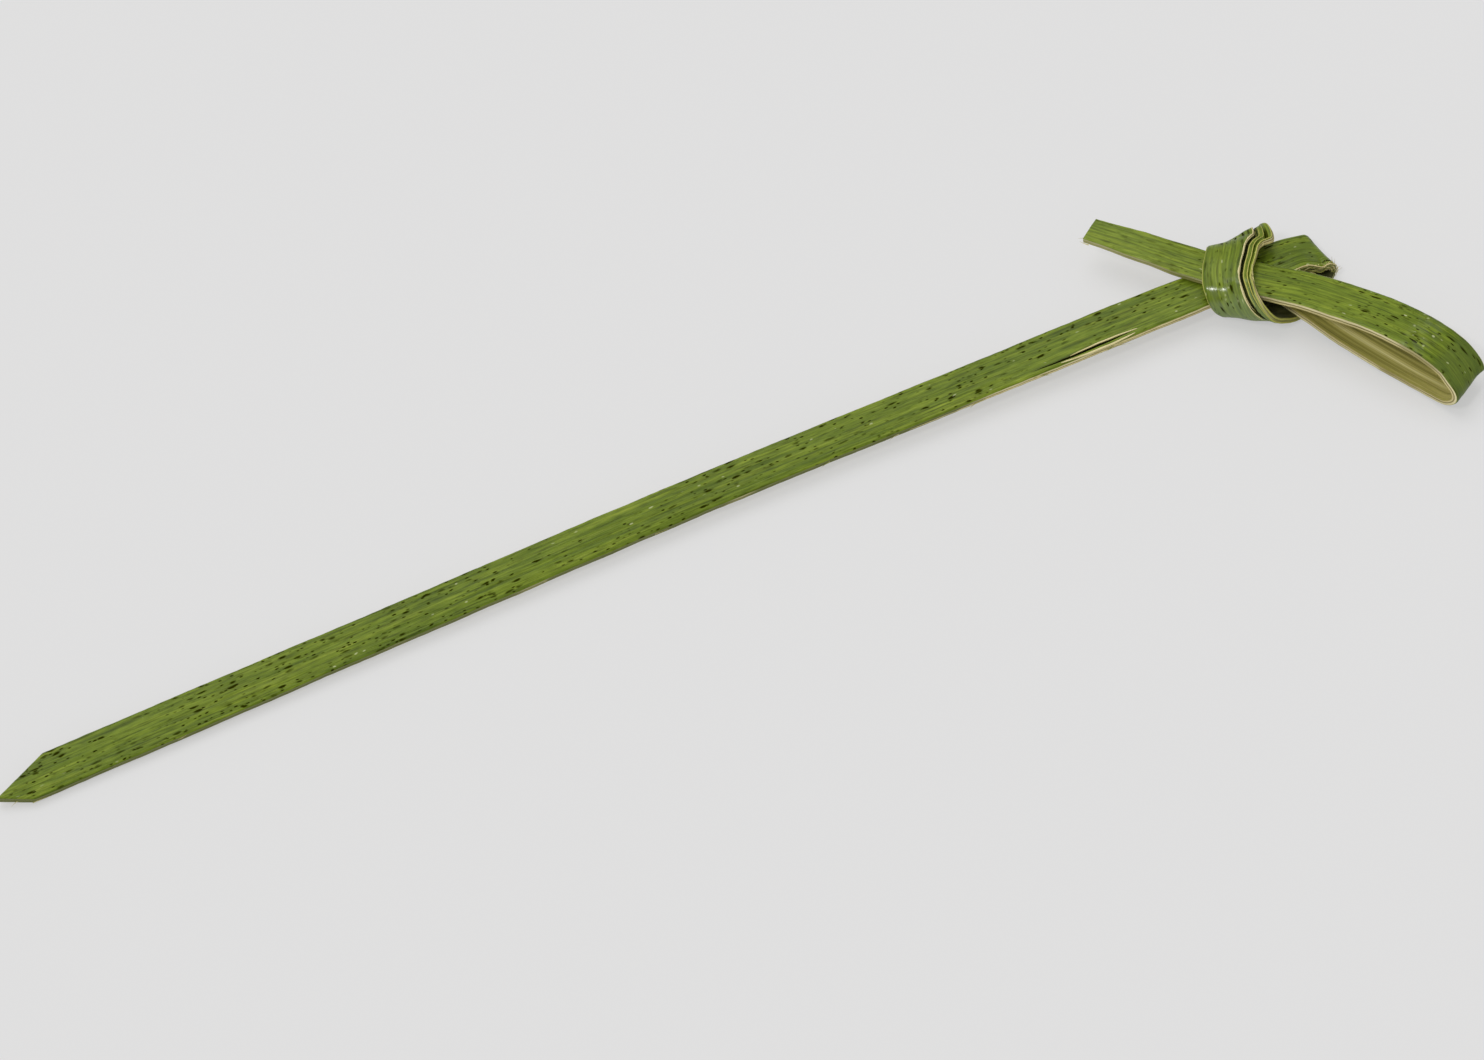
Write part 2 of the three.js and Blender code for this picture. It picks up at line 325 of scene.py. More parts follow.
# %% Edges of the strip
SEED_SHIFT = 17.3
TIP_HALF_WIDTH = 0.04
COLLAR_TOP = FAR_TURN_START + 3.1
TOP_REACH = 1.5
TOP_FLARE = 1.1
COLLAR_WAIST = NEAR_TURN_START - 0.2
WAIST_REACH = 1.5
WAIST_BAY = 0.1
COLLAR_BOTTOM = NEAR_TURN_START + 3.6
BOTTOM_REACH = 1.3
BOTTOM_FLARE = 0.3
SLOW_WANDER = 0.035
QUICK_WANDER = 0.02


def grain(x, y, z=0.0):
    return noise.noise(Vector((x, y, z + SEED_SHIFT)))


def wander(length, seed):
    return SLOW_WANDER * grain(length * 0.35, seed) + QUICK_WANDER * grain(length * 1.6, seed + 1)


def ring_limits(ring):
    half = ring["width"] / 2
    low, high = -half, half
    left = strip_length - ring["length"]
    if left < TIP_LONG_CUT:
        low = mix(TIP_OFFSET - TIP_HALF_WIDTH, -half, left / TIP_LONG_CUT)
    if left < TIP_SHORT_CUT:
        high = mix(TIP_OFFSET + TIP_HALF_WIDTH, half, left / TIP_SHORT_CUT)
    high += TOP_FLARE * bell(ring["at"], COLLAR_TOP, TOP_REACH)
    high += BOTTOM_FLARE * bell(ring["at"], COLLAR_BOTTOM, BOTTOM_REACH)
    high -= WAIST_BAY * bell(ring["at"], COLLAR_WAIST, WAIST_REACH)
    return low + wander(ring["length"], 1.0), high + wander(ring["length"], 5.0)


tip_low, tip_high = ring_limits(rings[-1])
print("width of the point in mm:", round(tip_high - tip_low, 2))

# %% Curls of the collar
BOTTOM_CURL = 0.55
BOTTOM_CURL_AT = NEAR_TURN_START + 4.6
BOTTOM_CURL_REACH = 1.6
BOTTOM_CURL_WIDTH = 2.4
TOP_CURL = 0.6
TOP_CURL_AT = COLLAR_TOP + 0.2
TOP_CURL_REACH = 0.95
TOP_CURL_WIDTH = 1.2
CURL_POWER = 1.5


def place_on(ring, across, depth):
    past = across - ring["width"] / 2
    bottom = BOTTOM_CURL * bell(ring["at"], BOTTOM_CURL_AT, BOTTOM_CURL_REACH)
    sink = bottom * smooth((past + BOTTOM_CURL_WIDTH) / BOTTOM_CURL_WIDTH) ** CURL_POWER
    top = TOP_CURL * bell(ring["at"], TOP_CURL_AT, TOP_CURL_REACH)
    sink += top * smooth((past + TOP_CURL_WIDTH) / (TOP_CURL_WIDTH + TOP_FLARE)) ** CURL_POWER
    return ring["point"] + ring["across"] * across + ring["normal"] * (depth - sink)


# %% Section with its splits
SKIN_COLUMNS = 30
LIP_COLUMNS = 9
EDGE_COLUMNS = 5
FLESH_COLUMNS = 16
CROWN = 0.03
CORNER = 0.07
CORNER_WIDTH = 0.12
LIP_WIDTH = 0.42
NARROW_SHARE = 0.2
COLLAR_LIP = 0.85
COLLAR_TOP_LIP = 0.45
WAIST_LIP = 0.06
SLIVER_LIP = 0.36
HAIRLINE = 0.012
COLLAR_GAPE = 0.33
SLIVER_GAPE = 0.2
SCRATCH_DEPTH = 0.004
COLLAR_SPLIT_DEPTH = 0.48
SLIVER_DEPTH = 0.5
LIP_DROP = 0.16
SKIN_LIFT = 0.12
SKIN_LIFT_FROM = 0.62
SECOND_GROOVE = 0.26
EDGE_TEAR = 0.035
EDGE_FOOT = 0.03
FLESH_CUP = 0.05
SKIN_SWELL = 0.016
SKIN_LINES = 0.009
FLESH_LINES = 0.014
UNDERCUT = 0.02
LIP_OVERHANG = 0.05


def slit_distance(at, wide):
    lip = mix(min(LIP_WIDTH, wide * NARROW_SHARE), COLLAR_LIP, collar_share(at))
    lip += COLLAR_TOP_LIP * bell(at, COLLAR_TOP, TOP_REACH) - WAIST_LIP * bell(at, COLLAR_WAIST, WAIST_REACH)
    return mix(lip, SLIVER_LIP, sliver_share(at))


def ring_section(ring):
    at, length = ring["at"], ring["length"]
    low, high = ring_limits(ring)
    wide = high - low
    collar, sliver = collar_share(at), sliver_share(at)
    gape = min(HAIRLINE + COLLAR_GAPE * collar + SLIVER_GAPE * sliver, wide * NARROW_SHARE)
    slit = high - slit_distance(at, wide)
    bottom = TOP - (SCRATCH_DEPTH + COLLAR_SPLIT_DEPTH * collar + SLIVER_DEPTH * sliver)
    columns = []

    def skin_height(across, from_corner):
        rise = TOP - CROWN * (across / (ring["width"] / 2)) ** 2
        rise += SKIN_SWELL * grain(length * 0.1, across * 2.2, 3.0)
        rise += SKIN_LINES * grain(length * 0.22, across * 9.0, 7.0)
        return rise - CORNER * (1 - smooth(from_corner / CORNER_WIDTH)) * min(1.0, wide)

    def tear(share, seed):
        return EDGE_TEAR * grain(length * 0.5, share * 5, seed) * min(1.0, wide)

    for i in range(SKIN_COLUMNS):
        share = i / (SKIN_COLUMNS - 1)
        across = mix(low, slit - gape / 2, share)
        lift = SKIN_LIFT * collar * smooth((share - SKIN_LIFT_FROM) / (1 - SKIN_LIFT_FROM))
        columns.append((across, skin_height(across, across - low) + lift))
    columns.append((slit - gape / 2 - UNDERCUT * collar, bottom))
    columns.append((slit + gape / 2 - LIP_OVERHANG * collar, bottom))
    for i in range(LIP_COLUMNS):
        share = i / (LIP_COLUMNS - 1)
        across = mix(slit + gape / 2, high, share)
        drop = LIP_DROP * collar + SECOND_GROOVE * collar * bell(share, 0.55, 0.1)
        columns.append((across, skin_height(across, high - across) - drop))
    edge_top = columns[-1][1]
    for i in range(1, EDGE_COLUMNS + 1):
        share = i / (EDGE_COLUMNS + 1)
        columns.append((high + tear(share, 11.0), mix(edge_top, EDGE_FOOT - TOP, share)))
    for i in range(FLESH_COLUMNS):
        share = i / (FLESH_COLUMNS - 1)
        across = mix(high, low, share)
        cup = FLESH_CUP * (abs(share - 0.5) * 2) ** 8
        columns.append((across, FLESH_LINES * grain(length * 0.15, across * 6.0, 19.0) + cup - TOP))
    edge_low = columns[0][1]
    for i in range(1, EDGE_COLUMNS + 1):
        share = i / (EDGE_COLUMNS + 1)
        columns.append((low + tear(share, 23.0), mix(EDGE_FOOT - TOP, edge_low, share)))
    return columns


COLUMNS = len(ring_section(rings[0]))
print("columns in a section:", COLUMNS)

# %% [markdown]
# ## The strip as one closed mesh
#
# The sections are joined ring by ring into a tube of quads, and closed at both ends. Each vertex
# keeps its place on the strip, in millimetres along, across and up through the thickness. The
# materials read that place, so the grain follows the strip round the knot as it does in real bamboo.

# %% Finishes round the section
SKIN, EDGE, FLESH, SPLIT = 0, 1, 2, 3


def column_finishes(at):
    split = COLLAR_FROM < at < COLLAR_TO or SLIVER_FROM < at < SLIVER_TO
    edge = [EDGE] * (EDGE_COLUMNS + 1)
    skin = [SKIN] * (SKIN_COLUMNS - 1) + [SPLIT if split else SKIN] * 3 + [SKIN] * (LIP_COLUMNS - 1)
    return skin + edge + [FLESH] * (FLESH_COLUMNS - 1) + edge


print("faces round a section:", len(column_finishes(0.0)))

# %% Build the mesh
TAIL_SKEW = 0.14
TAIL_SKEW_LENGTH = 1.5
FLOOR_TOUCH = 0.01
SHARP_ANGLE = 42
turn_matrix = Matrix.Rotation(TURN_TO_FRAME, 3, "Z")


def to_frame(point):
    return (turn_matrix @ point + PLACE_IN_FRAME) * MM


def strip_vertices():
    places = []
    coordinates = []
    for ring in rings:
        skew = TAIL_SKEW * max(0.0, 1 - ring["length"] / TAIL_SKEW_LENGTH)
        for across, depth in ring_section(ring):
            place = to_frame(place_on(ring, across, depth) + ring["along"] * (skew * across))
            place.z = max(place.z, FLOOR_TOUCH * MM)
            places.append(place)
            coordinates.append((ring["length"], across, depth))
    return places, coordinates


def strip_faces():
    faces = []
    finishes = []
    for r, ring in enumerate(rings[:-1]):
        a = r * COLUMNS
        b = a + COLUMNS
        for c in range(COLUMNS):
            d = (c + 1) % COLUMNS
            faces.append((a + c, b + c, b + d, a + d))
        finishes += column_finishes(ring["at"])
    last = (len(rings) - 1) * COLUMNS
    faces.append(tuple(range(COLUMNS)))
    faces.append(tuple(reversed(range(last, last + COLUMNS))))
    return faces, finishes + [EDGE, EDGE]


def build_strip():
    places, coordinates = strip_vertices()
    faces, finishes = strip_faces()
    mesh = bpy.data.meshes.new("bamboo_strip_grown")
    mesh.from_pydata(places, [], faces)
    mesh.polygons.foreach_set("material_index", finishes)
    attribute = mesh.attributes.new("strip_place", "FLOAT_VECTOR", "POINT")
    attribute.data.foreach_set("vector", np.array(coordinates, np.float32).ravel())
    shape = bmesh.new()
    shape.from_mesh(mesh)
    bmesh.ops.triangulate(shape, faces=[face for face in shape.faces if len(face.verts) > 4])
    bmesh.ops.recalc_face_normals(shape, faces=shape.faces[:])
    open_edges = sum(1 for edge in shape.edges if not edge.is_manifold)
    shape.to_mesh(mesh)
    volume = shape.calc_volume(signed=True)
    shape.free()
    mesh.shade_smooth()
    mesh.set_sharp_from_angle(angle=math.radians(SHARP_ANGLE))
    obj = bpy.data.objects.new("knotted_bamboo", mesh)
    bpy.context.scene.collection.objects.link(obj)
    print("strip faces:", len(mesh.polygons), "open edges:", open_edges,
          "volume in mm3:", round(volume * 1e9, 1))
    return obj


strip = build_strip()

# %% Compare with the plain solid
fine_surface = BVHTree.FromObject(strip, bpy.context.evaluated_depsgraph_get())
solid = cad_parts["bamboo_strip"]
gaps = [fine_surface.find_nearest(vertex.co)[3] * 1000 for vertex in solid.data.vertices]
farthest = solid.data.vertices[gaps.index(max(gaps))].co
print("farthest corner of the plain solid from the fine strip, in mm:", round(max(gaps), 3),
      "at", [round(v * 1000, 1) for v in farthest], "mean:", round(sum(gaps) / len(gaps), 3))

# %% [markdown]
# ## Node helpers
#
# Materials are trees of nodes. A few short helpers keep the trees readable: one adds a node and
# links its inputs, one makes noise that is stretched along the grain, and one makes a ramp. Every
# material of the strip reads the same place on the strip and ends in the same kind of shader.

# %% Helpers for any tree
def new_material(name):
    material = bpy.data.materials.new(name)
    material.use_nodes = True
    material.node_tree.nodes.clear()
    return material, material.node_tree


def add(tree, kind, inputs=None, **settings):
    node = tree.nodes.new(kind)
    for key, value in settings.items():
        setattr(node, key, value)
    for key, value in (inputs or {}).items():
        socket = node.inputs[key]
        if isinstance(value, bpy.types.NodeSocket):
            tree.links.new(value, socket)
        else:
            socket.default_value = value
    return node


def math_node(tree, operation, a, b, c=0.0):
    return add(tree, "ShaderNodeMath", {0: a, 1: b, 2: c}, operation=operation).outputs[0]


def times(tree, value, factor):
    return math_node(tree, "MULTIPLY", value, factor)


def fade(tree, value, low, high):
    node = add(tree, "ShaderNodeMapRange", {"Value": value, "From Min": low, "From Max": high},
               interpolation_type="SMOOTHSTEP")
    return node.outputs["Result"]


# %% Helpers for colour
def srgb(*channels):
    values = []
    for channel in channels:
        c = channel / 255
        values.append(c / 12.92 if c <= 0.04045 else ((c + 0.055) / 1.055) ** 2.4)
    return tuple(values)


def ramp(tree, value, stops):
    node = add(tree, "ShaderNodeValToRGB", {"Fac": value})
    elements = node.color_ramp.elements
    while len(elements) < len(stops):
        elements.new(0.5)
    for element, (position, colour) in zip(elements, stops):
        element.position = position
        element.color = (*colour, 1.0)
    return node.outputs["Color"]


def blend(tree, share, first, second, mode="MIX"):
    if isinstance(second, tuple):
        second = (*second, 1.0)
    node = add(tree, "ShaderNodeMix", data_type="RGBA", blend_type=mode)
    for socket, value in ((node.inputs[0], share), (node.inputs[6], first), (node.inputs[7], second)):
        if isinstance(value, bpy.types.NodeSocket):
            tree.links.new(value, socket)
        else:
            socket.default_value = value
    return node.outputs[2]


# %% Helpers for the strip's materials
def strip_place(tree):
    place = add(tree, "ShaderNodeAttribute", attribute_name="strip_place").outputs["Vector"]
    parts = add(tree, "ShaderNodeSeparateXYZ", {"Vector": place})
    return place, parts.outputs[0], parts.outputs[2]


def stretched(tree, place, scale, shift):
    node = add(tree, "ShaderNodeMapping", {"Vector": place, "Scale": scale, "Location": shift})
    return node.outputs["Vector"]


def grain_noise(tree, place, scale, detail, shift=(0, 0, 0)):
    vector = stretched(tree, place, scale, shift)
    node = add(tree, "ShaderNodeTexNoise", {"Vector": vector, "Scale": 1.0, "Detail": detail})
    return node.outputs["Fac"]


def shade(tree, colour, roughness, specular=0.5, relief=None, strength=0.0, distance=0.0):
    shader = add(tree, "ShaderNodeBsdfPrincipled",
                 {"Base Color": colour, "Roughness": roughness, "Specular IOR Level": specular})
    if relief is not None:
        bump = add(tree, "ShaderNodeBump",
                   {"Height": relief, "Strength": strength, "Distance": distance * MM})
        tree.links.new(bump.outputs[0], shader.inputs["Normal"])
    add(tree, "ShaderNodeOutputMaterial", {"Surface": shader.outputs[0]})
    return shader


# %% [markdown]
# ## Green skin
#
# Fresh bamboo skin is a mid green with fine lengthwise streaks. Small dark marks lie along the
# grain in loose groups, with a few pale scratches between them. Layers of cells make the marks:
# each cell is long along the grain, and only some cells are inked. Two layers are dark, one is pale,
# and one is painted highlight: pale glint specks only on the bends, where the coat is also glossier.
# A pale sky reflection is painted on the collar's lower bend, the tail and the near part of the
# loop's top are painted lighter as if lit, and the nose is painted darker.

# %% Where the finish changes
EASE_LENGTH = 1.0


def length_at(at):
    return ring_near(at)["length"]


def stretch_of(start, end):
    return length_at(start), length_at(end)


# Inside the knot the flesh gets painted shade.
KNOT_INSIDE_PAINTED_SHADE = stretch_of(FAR_TURN_START - 0.5, SHAFT_START)
# Under the knot the cut edges get painted shade.
KNOT_UNDER_PAINTED_SHADE = stretch_of(NEAR_TURN_START + 3.0, FOLD_START + 1.5)
FOLD_EDGE = stretch_of(FOLD_START + 0.5, SHAFT_START + 1.0)
# On the bends the skin gets painted glint specks and a glossier coat.
COLLAR_BEND = stretch_of(NEAR_TURN_START + 0.7, NEAR_TURN_START + 1.3)
# On the collar's lower bend the skin gets a painted sky reflection.
COLLAR_PAINTED_SHEEN = stretch_of(NEAR_TURN_START + 1.9, NEAR_TURN_START + 3.2)
LOOP_BEND = stretch_of(7.7, 8.0)
LOOP_LIT = stretch_of(7.8, 6.4)
NOSE = stretch_of(8.7, 10.2)
SHAFT_GREEN_FROM = length_at(SLIVER_TO) + 2
print("knot on the strip, in mm:", [round(v, 1) for v in KNOT_INSIDE_PAINTED_SHADE])


def within(tree, along, stretch):
    start, end = stretch
    return times(tree, fade(tree, along, start - EASE_LENGTH, start),
                 fade(tree, along, end + EASE_LENGTH, end))


# %% Marks in the grain
def marks(tree, place, size, threshold, amount, shift):
    vector = stretched(tree, place, (1 / size[0], 1 / size[1], 0.02), shift)
    wobble = grain_noise(tree, place, (0.9, 3.0, 0.1), 2.0, shift)
    sway = add(tree, "ShaderNodeCombineXYZ", {0: wobble, 1: times(tree, wobble, 0.35)})
    bent = add(tree, "ShaderNodeVectorMath", {0: vector, 1: sway.outputs[0]}, operation="ADD")
    cells = add(tree, "ShaderNodeTexVoronoi",
                {"Vector": bent.outputs[0], "Scale": 1.0, "Randomness": 1.0}, feature="F1")
    near = fade(tree, cells.outputs["Distance"], threshold, threshold * 0.35)
    split = add(tree, "ShaderNodeSeparateColor", {"Color": cells.outputs["Color"]})
    chosen = fade(tree, split.outputs[0], 1 - amount, 1 - amount + 0.05)
    strength = math_node(tree, "MULTIPLY_ADD", split.outputs[1], 0.6, 0.75)
    return times(tree, times(tree, near, chosen), strength)


def dark_marks(tree, place, along):
    large = marks(tree, place, (1.15, 0.32), 0.44, 0.36, (0, 0, 0))
    small = marks(tree, place, (0.55, 0.2), 0.42, 0.34, (31, 7, 0))
    groups = fade(tree, grain_noise(tree, place, (0.12, 0.4, 0.1), 1.0, (5, 5, 0)), 0.32, 0.48)
    off_tail = add(tree, "ShaderNodeMapRange",
                   {"Value": along, "From Min": 6.0, "From Max": 11.0, "To Min": 0.3})
    grouped = times(tree, math_node(tree, "MAXIMUM", large, small), groups)
    return times(tree, grouped, off_tail.outputs["Result"])


def scratches_and_painted_glints(tree, place, bends):
    scratches = marks(tree, place, (0.7, 0.3), 0.28, 0.07, (11, 23, 0))
    # Painted highlight: pale glint specks, kept to the bends by the mask.
    painted_glints = marks(tree, place, (0.4, 0.36), 0.38, 0.24, (3, 41, 0))
    return math_node(tree, "MAXIMUM", scratches, times(tree, painted_glints, bends))


# %% Ground colour of the skin
def skin_ground(tree, place, streak, fine):
    broad = grain_noise(tree, place, (0.05, 0.5, 0.1), 2.0)
    short = grain_noise(tree, place, (0.8, 5.0, 0.1), 5.0, (13, 2, 0))
    blotch = grain_noise(tree, place, (0.35, 1.1, 0.1), 3.0, (2, 7, 0))
    base = ramp(tree, streak, [
        (0.3, srgb(74, 93, 19)), (0.45, srgb(92, 111, 24)),
        (0.56, srgb(109, 127, 31)), (0.72, srgb(133, 148, 46))])
    tone = ramp(tree, broad, [
        (0.3, srgb(82, 101, 23)), (0.5, srgb(101, 121, 28)), (0.72, srgb(122, 139, 38))])
    colour = blend(tree, 0.45, base, tone)
    for share, pattern, stops in (
            (0.85, fine, [(0.3, (0.52, 0.5, 0.34)), (0.48, (1.02, 1.02, 0.95)), (0.7, (1.42, 1.36, 1.6))]),
            (0.8, short, [(0.33, (0.66, 0.66, 0.45)), (0.5, (1.0, 1.0, 1.0)), (0.68, (1.25, 1.18, 1.4))]),
            (0.8, blotch, [(0.34, (0.8, 0.83, 0.66)), (0.52, (1.0, 1.0, 1.0)), (0.75, (1.12, 1.08, 1.16))])):
        colour = blend(tree, share, colour, ramp(tree, pattern, stops), "MULTIPLY")
    return colour


# %% Skin material
# The next colour is a painted sky reflection on the collar's lower bend.
PAINTED_SKY_SHEEN = srgb(150, 170, 130)
LIT = (1.15, 1.13, 1.15)
NOSE_SHADE = srgb(72, 88, 44)
DARK_MARK = srgb(40, 44, 0)
# Pale colour of the real scratches and of the painted glint specks.
PALE_SCRATCH_AND_GLINT = srgb(198, 204, 152)
WAX_GLOSS = 0.8
SKIN_GLOSS = 0.12
COAT_ROUGHNESS = 0.17


def skin_material():
    material, tree = new_material("green_bamboo_skin")
    place, along, _ = strip_place(tree)
    streak = grain_noise(tree, place, (0.06, 3.2, 0.1), 4.0, (3, 1, 0))
    fine = grain_noise(tree, place, (0.22, 7.5, 0.1), 4.0, (9, 4, 0))
    bends = math_node(tree, "MAXIMUM", within(tree, along, COLLAR_BEND), within(tree, along, LOOP_BEND))
    dark = dark_marks(tree, place, along)
    scratches_and_glints = scratches_and_painted_glints(tree, place, bends)
    colour = skin_ground(tree, place, streak, fine)
    # Painted reflection: a pale sky sheen on the collar's lower bend.
    colour = blend(tree, times(tree, within(tree, along, COLLAR_PAINTED_SHEEN), 0.28), colour, PAINTED_SKY_SHEEN)
    colour = blend(tree, fade(tree, along, *LOOP_LIT), colour, LIT, "MULTIPLY")
    # Painted darker nose, then dark marks, then pale scratches with painted glint specks.
    for share, amount, tint in (
            (within(tree, along, NOSE), 0.4, NOSE_SHADE), (dark, 0.95, DARK_MARK), (scratches_and_glints, 0.6, PALE_SCRATCH_AND_GLINT)):
        colour = blend(tree, times(tree, share, amount), colour, tint)
    rough = math_node(tree, "MULTIPLY_ADD", fade(tree, streak, 0.3, 0.7), 0.14, 0.36)
    dull = math_node(tree, "SUBTRACT", 1.0, dark)
    relief = math_node(tree, "ADD", times(tree, fine, 0.55), times(tree, streak, 0.6))
    relief = math_node(tree, "SUBTRACT", relief, times(tree, dark, 0.5))
    shader = shade(tree, colour, rough, times(tree, dull, 0.14), relief, 0.6, 0.06)
    patches = fade(tree, grain_noise(tree, place, (1.2, 2.0, 0.1), 3.0, (8, 8, 0)), 0.42, 0.56)
    glint = times(tree, times(tree, bends, patches), WAX_GLOSS)
    coat = math_node(tree, "ADD", times(tree, dull, SKIN_GLOSS), glint)
    tree.links.new(coat, shader.inputs["Coat Weight"])
    shader.inputs["Coat Roughness"].default_value = COAT_ROUGHNESS
    print(material.name, "has", len(tree.nodes), "nodes")
    return material


skin = skin_material()

# %% [markdown]
# ## Cut edges, flesh and splits
#
# The edge that the knife leaves is a stack of fibre layers: cream, with thin brown lines between
# them and a green line under the skin. It is greener where it is worn, and torn at the fold. Under
# the knot its colour is painted olive, as shade. The flesh on the strip's inner side is olive and
# tan, with long fibres in bands, and inside the knot it is painted dark green, as shade. The inside
# of a split is painted dark, as shade, because hardly any light gets in.

# %% Edge material
def edge_material():
    material, tree = new_material("cut_bamboo_edge")
    place, along, depth = strip_place(tree)
    layers = grain_noise(tree, place, (0.1, 0.6, 9.0), 3.0)
    hairs = grain_noise(tree, place, (0.5, 2.0, 26.0), 3.0, (4, 0, 2))
    height = math_node(tree, "MULTIPLY_ADD", layers, 0.14, depth)
    height = math_node(tree, "MULTIPLY_ADD", height, 1.25, 0.42)
    colour = ramp(tree, height, [
        (0.08, srgb(136, 130, 66)), (0.22, srgb(184, 172, 108)), (0.34, srgb(226, 214, 160)),
        (0.44, srgb(104, 94, 44)), (0.5, srgb(196, 182, 122)), (0.62, srgb(240, 232, 192)),
        (0.76, srgb(206, 198, 134)), (0.88, srgb(126, 138, 60))])
    lines = ramp(tree, hairs, [(0.3, (0.55, 0.5, 0.36)), (0.47, (0.96, 0.95, 0.9)), (0.7, (1.1, 1.1, 1.1))])
    colour = blend(tree, 0.7, colour, lines, "MULTIPLY")
    patches = fade(tree, grain_noise(tree, place, (0.16, 0.3, 0.6), 3.0, (7, 2, 1)), 0.5, 0.68)
    worn = fade(tree, grain_noise(tree, place, (0.12, 0.2, 0.5), 2.0, (1, 6, 3)), 0.62, 0.48)
    near_point = fade(tree, along, strip_length - 50, strip_length - 30)
    on_shaft = fade(tree, along, SHAFT_GREEN_FROM, SHAFT_GREEN_FROM + 5)
    torn = ramp(tree, grain_noise(tree, place, (0.5, 0.4, 7.0), 4.0, (2, 9, 5)), [
        (0.42, srgb(24, 27, 6)), (0.5, srgb(74, 76, 30)),
        (0.56, srgb(176, 170, 104)), (0.64, srgb(222, 212, 156))])
    for share, amount, tint in (
            (fade(tree, depth, 0.16, 0.27), 0.75, srgb(128, 140, 62)),
            (patches, 0.6, srgb(138, 128, 66)),
            (times(tree, on_shaft, math_node(tree, "MAXIMUM", worn, near_point)), 0.88, srgb(88, 100, 30)),
            # Painted shade on the edges under the knot.
            (within(tree, along, KNOT_UNDER_PAINTED_SHADE), 0.65, srgb(112, 120, 44)),
            (fade(tree, along, 13.0, 8.0), 0.55, srgb(122, 134, 60)),
            (within(tree, along, FOLD_EDGE), 0.9, torn)):
        colour = blend(tree, times(tree, share, amount), colour, tint)
    shade(tree, colour, 0.62, 0.35, hairs, 0.5, 0.05)
    print(material.name, "has", len(tree.nodes), "nodes")
    return material


edge = edge_material()


# %% Flesh and split materials
def flesh_material():
    material, tree = new_material("bamboo_flesh")
    place, along, _ = strip_place(tree)
    bands = grain_noise(tree, place, (0.03, 1.9, 0.1), 3.0, (1, 3, 0))
    fibres = grain_noise(tree, place, (0.12, 11.0, 0.1), 3.0, (6, 8, 0))
    colour = ramp(tree, bands, [
        (0.3, srgb(116, 112, 44)), (0.45, srgb(164, 158, 80)),
        (0.56, srgb(196, 188, 114)), (0.72, srgb(226, 220, 160))])
    lines = ramp(tree, fibres, [
        (0.3, (0.6, 0.56, 0.42)), (0.48, (0.95, 0.94, 0.9)), (0.7, (1.15, 1.14, 1.12))])
    colour = blend(tree, 0.8, colour, lines, "MULTIPLY")
    # Painted shade: inside the knot the flesh is turned dark green.
    colour = blend(tree, times(tree, within(tree, along, KNOT_INSIDE_PAINTED_SHADE), 0.92), colour, srgb(30, 39, 7))
    shade(tree, colour, 0.6, 0.4, fibres, 0.55, 0.06)
    print(material.name, "has", len(tree.nodes), "nodes")
    return material


def painted_shade_split_material():
    material, tree = new_material("painted_shade_in_split")
    place, _, _ = strip_place(tree)
    fibres = grain_noise(tree, place, (0.2, 9.0, 9.0), 3.0)
    # These dark colours are painted shade inside the split.
    colour = ramp(tree, fibres, [(0.35, srgb(22, 26, 6)), (0.55, srgb(54, 60, 18)), (0.7, srgb(112, 112, 48))])
    shade(tree, colour, 0.75, 0.1)
    print(material.name, "has", len(tree.nodes), "nodes")
    return material


for material in (skin, edge, flesh_material(), painted_shade_split_material()):
    strip.data.materials.append(material)

# %% [markdown]
# ## Growing small pieces on lines and points
#
# Fibres and torn layers are both grown by Geometry Nodes, the first on a cloud of points and the
# second along lines. Both take the same way to a plain mesh: the points and their attributes go
# into a holder, its inputs are set by their identifiers, and the evaluated result is kept.

# %% From points to a plain mesh
def holder_of(name, points, edges, attributes):
    mesh = bpy.data.meshes.new(name)
    mesh.from_pydata(points, edges, [])
    for attribute_name, kind, field, values in attributes:
        attribute = mesh.attributes.new(attribute_name, kind, "POINT")
        attribute.data.foreach_set(field, np.array(values, np.float32).ravel())
    holder = bpy.data.objects.new(name, mesh)
    bpy.context.scene.collection.objects.link(holder)
    return holder


def grown_object(name, holder, group, inputs, finish):
    modifier = holder.modifiers.new(name, "NODES")
    modifier.node_group = group
    for identifier, value in inputs.items():
        modifier[identifier] = value
    evaluated = holder.evaluated_get(bpy.context.evaluated_depsgraph_get())
    mesh = bpy.data.meshes.new_from_object(evaluated)
    mesh.name = name
    mesh.polygons.foreach_set("material_index", [0] * len(mesh.polygons))
    mesh.materials.clear()
    mesh.materials.append(finish)
    bpy.data.objects.remove(holder)
    obj = bpy.data.objects.new(name, mesh)
    bpy.context.scene.collection.objects.link(obj)
    low = min(vertex.co.z for vertex in mesh.vertices) * 1000
    print(name, "faces:", len(mesh.polygons), "lowest in mm:", round(low, 2))
    return obj


# %% [markdown]
# ## Loose fibres
#
# Bamboo tears into fibres where it is cut or folded hard. Each fibre is a thin bent cone. Geometry
# Nodes place one on each point of a small cloud, turned to the direction that the point carries, and
# scaled by its length. The cloud follows the torn edges: the fold, the lifted skin at the collar,
# the tail's end and the sliver, with a few more on the loop's and the shaft's edge.

# %% Places of the fibres
draw = random.Random(41)
fibre_points = []
FIBRE_SCATTER = 0.12


